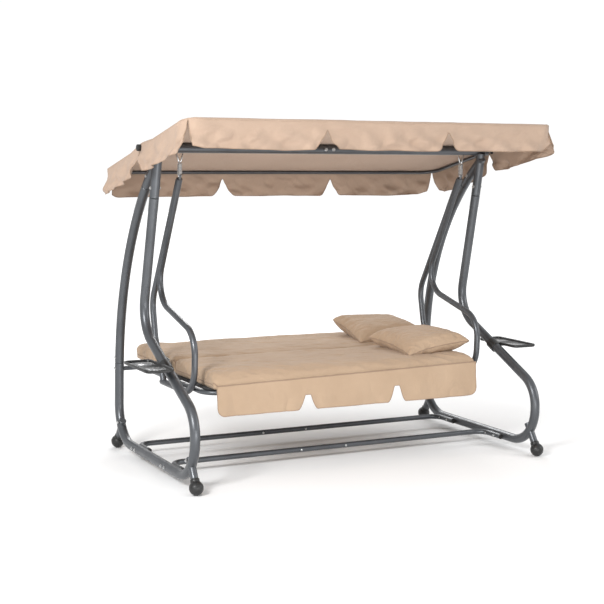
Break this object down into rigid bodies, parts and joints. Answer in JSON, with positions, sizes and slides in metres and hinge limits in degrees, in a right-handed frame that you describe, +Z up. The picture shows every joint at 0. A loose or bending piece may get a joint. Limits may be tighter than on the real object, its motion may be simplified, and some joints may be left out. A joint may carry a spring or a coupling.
{
  "type": "canopy swing bench",
  "caption": "Garden swing bench with a tilting cloth canopy, side trays and a backrest that folds flat into a bed.",
  "frame": {"origin": "On the floor under the middle of the bounding box.", "axes": "+Z up, +X along the beam to the right seen from the front, +Y from the front of the bench to the back."},
  "size_m": [2.232, 1.4624, 1.7345],
  "materials": {
    "painted_tube": "satin grey powder coat",
    "zinc": "bright zinc plating",
    "black_plastic": "black moulded plastic",
    "tray_top": "smooth grey tray top",
    "canvas": "coated woven polyester",
    "cushion_fabric": "woven polyester over padding",
    "sling_fabric": "black mesh sling"
  },
  "bodies": {
    "frame": {"apex_bracket_left": "painted_tube", "apex_bracket_right": "painted_tube", "beam_bolt_left": "zinc", "beam_bolt_right": "zinc", "beam_left": "painted_tube", "beam_right": "painted_tube", "cross_tube_front_left": "painted_tube", "cross_tube_front_right": "painted_tube", "cross_tube_rear_left": "painted_tube", "cross_tube_rear_right": "painted_tube", "foot_ball_front_left": "black_plastic", "foot_ball_front_right": "black_plastic", "foot_ball_rear_left": "black_plastic", "foot_ball_rear_right": "black_plastic", "foot_tube_front_left": "painted_tube", "foot_tube_front_right": "painted_tube", "foot_tube_rear_left": "painted_tube", "foot_tube_rear_right": "painted_tube", "leg_front_left": "painted_tube", "leg_front_right": "painted_tube", "leg_rear_lower_left": "painted_tube", "leg_rear_lower_right": "painted_tube", "leg_rear_upper_left": "painted_tube", "leg_rear_upper_right": "painted_tube", "rail_middle_left": "painted_tube", "rail_middle_right": "painted_tube", "stay_bar_left": "painted_tube", "stay_bar_right": "painted_tube", "tray_clamp_left": "black_plastic", "tray_clamp_right": "black_plastic", "tray_inlay_left": "tray_top", "tray_inlay_right": "tray_top", "tray_left": "black_plastic", "tray_right": "black_plastic"},
    "swing": {"link_hook_left": "zinc", "link_hook_right": "zinc", "link_spring_left": "zinc", "link_spring_right": "zinc", "hanger_front_left": "painted_tube", "hanger_front_right": "painted_tube", "hanger_rear_left": "painted_tube", "hanger_rear_right": "painted_tube", "backrest_pin_left": "zinc", "backrest_pin_right": "zinc", "seat_frame": "painted_tube", "seat_sling": "sling_fabric", "seat_cushion": "cushion_fabric", "seat_skirt": "cushion_fabric"},
    "backrest": {"back_frame": "painted_tube", "back_sling": "sling_fabric", "back_cushion": "cushion_fabric", "hinge_ear_left": "painted_tube", "hinge_ear_right": "painted_tube"},
    "front_pillow": {"pillow_front": "cushion_fabric"},
    "rear_pillow": {"pillow_rear": "cushion_fabric"},
    "canopy": {"canopy_frame": "painted_tube", "canopy_cloth": "canvas"},
    "knob_left": {"tilt_knob_left": "black_plastic"},
    "knob_right": {"tilt_knob_right": "black_plastic"}
  },
  "joints": [
    {"name": "swing_hinge", "type": "hinge", "parent": "frame", "child": "swing", "pos_m": [0, -0.13675, 1.569], "axis": [1, 0, 0], "range_deg": [-30, 5]},
    {"name": "backrest_hinge", "type": "hinge", "parent": "swing", "child": "backrest", "pos_m": [0, 0.14825, 0.5], "axis": [1, 0, 0], "range_deg": [0, 40]},
    {"name": "front_pillow_lift", "type": "slide", "parent": "swing", "child": "front_pillow", "axis": [0, 0, 1], "range_m": [0, 0.15]},
    {"name": "rear_pillow_slide", "type": "slide", "parent": "backrest", "child": "rear_pillow", "axis": [0, 1, 0], "range_m": [0, 0.1]},
    {"name": "canopy_tilt", "type": "hinge", "parent": "frame", "child": "canopy", "pos_m": [0, -0.13675, 1.595], "axis": [1, 0, 0], "range_deg": [-18, 18]},
    {"name": "knob_turn_left", "type": "hinge", "parent": "canopy", "child": "knob_left", "pos_m": [-1.02, -0.13675, 1.595], "axis": [-1, 0, 0], "range_deg": [0, 180]},
    {"name": "knob_turn_right", "type": "hinge", "parent": "canopy", "child": "knob_right", "pos_m": [1.02, -0.13675, 1.595], "axis": [1, 0, 0], "range_deg": [0, 180]}
  ]
}
